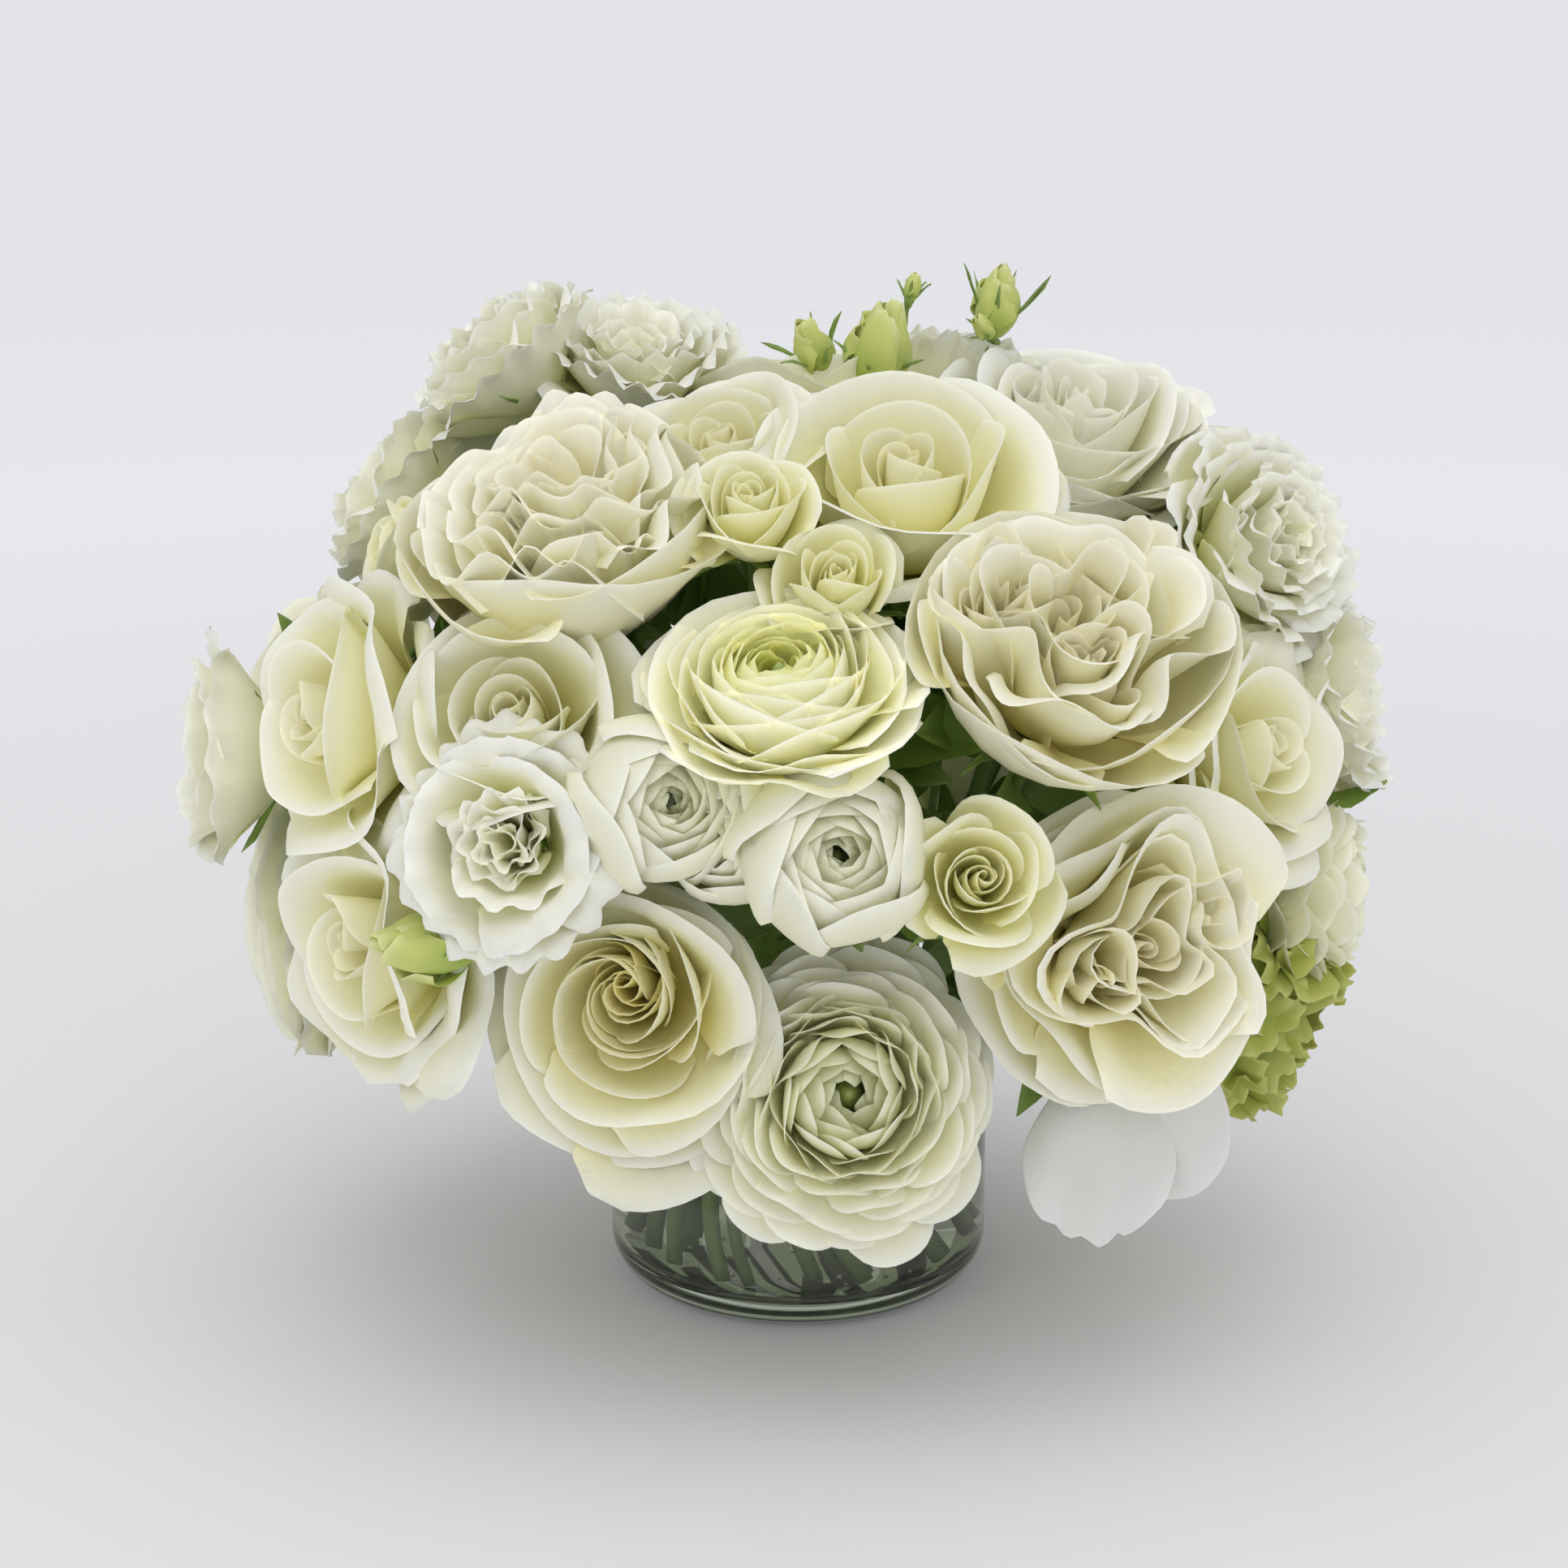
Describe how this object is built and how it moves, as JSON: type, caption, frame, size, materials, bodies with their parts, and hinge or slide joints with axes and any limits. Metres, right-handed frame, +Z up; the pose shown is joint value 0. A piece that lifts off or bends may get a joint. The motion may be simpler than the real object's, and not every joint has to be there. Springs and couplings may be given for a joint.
{
  "type": "flower arrangement",
  "caption": "Low round arrangement of white and cream roses, ranunculus and lisianthus in a clear glass cylinder vase of water.",
  "frame": {"origin": "middle of the flat foot of the vase", "axes": "+Z up out of the vase, -Y towards the front of the arrangement, +X to its right"},
  "size_m": [0.3877, 0.3267, 0.322],
  "materials": {
    "clear_glass": "clear, polished, faintly green in the thick foot",
    "water": "clear still water with small air bubbles",
    "green_foliage": "fresh green stems, leaves and calyces, softly waxy",
    "rose_petals": "velvety warm white petals, cream towards the base",
    "garden_rose_petals": "velvety creamy white petals, peach cream in the folds",
    "ranunculus_petals": "thin papery white petals, green at the heart",
    "lisianthus_petals": "thin frilled pure white petals, green at the throat",
    "spray_rose_petals": "soft pale yellow green petals",
    "bud_green": "closed yellow green petals and sepals",
    "hydrangea_green": "lime green florets"
  },
  "bodies": {
    "root": {"glass_vase": "clear_glass", "water": "water", "stems_front": "green_foliage", "stems_front_right": "green_foliage", "stems_right": "green_foliage", "stems_back_right": "green_foliage", "stems_back": "green_foliage", "stems_back_left": "green_foliage", "stems_left": "green_foliage", "stems_front_left": "green_foliage", "stems_middle": "green_foliage", "rose_top_centre": "rose_petals", "rose_crown_left": "rose_petals", "rose_crown_back": "rose_petals", "garden_rose_top_right": "garden_rose_petals", "garden_rose_top_left": "garden_rose_petals", "garden_rose_centre_right": "garden_rose_petals", "garden_rose_front_right": "garden_rose_petals", "rose_left": "rose_petals", "rose_middle_left": "rose_petals", "rose_front_low_left": "rose_petals", "rose_low_left": "rose_petals", "rose_right": "rose_petals", "ranunculus_centre": "ranunculus_petals", "ranunculus_front_left": "ranunculus_petals", "ranunculus_tucked": "ranunculus_petals", "ranunculus_front_centre": "ranunculus_petals", "ranunculus_front_low": "ranunculus_petals", "ranunculus_right": "ranunculus_petals", "lisianthus_top_left": "lisianthus_petals", "lisianthus_crown": "lisianthus_petals", "lisianthus_crown_back": "lisianthus_petals", "lisianthus_left_shoulder": "lisianthus_petals", "lisianthus_far_left": "lisianthus_petals", "lisianthus_front_left": "lisianthus_petals", "lisianthus_right": "lisianthus_petals", "lisianthus_far_right": "lisianthus_petals", "spray_rose_upper": "spray_rose_petals", "spray_rose_centre": "spray_rose_petals", "spray_rose_left": "spray_rose_petals", "spray_rose_front": "spray_rose_petals", "rose_back_top": "rose_petals", "rose_back_centre": "rose_petals", "rose_back_left": "rose_petals", "rose_back_low_right": "rose_petals", "garden_rose_back_left": "garden_rose_petals", "garden_rose_back_right": "garden_rose_petals", "garden_rose_back_low": "garden_rose_petals", "rose_back_shoulder": "rose_petals", "lisianthus_back_left": "lisianthus_petals", "ranunculus_back_right": "ranunculus_petals", "ranunculus_back_low": "ranunculus_petals", "ranunculus_low_left": "ranunculus_petals", "rose_back_low_left": "rose_petals", "hydrangea_right": "hydrangea_green", "bud_round": "bud_green", "bud_opening": "bud_green", "bud_tall": "bud_green", "bud_green_left": "bud_green", "drooping_petals": "garden_rose_petals"}
  },
  "joints": []
}
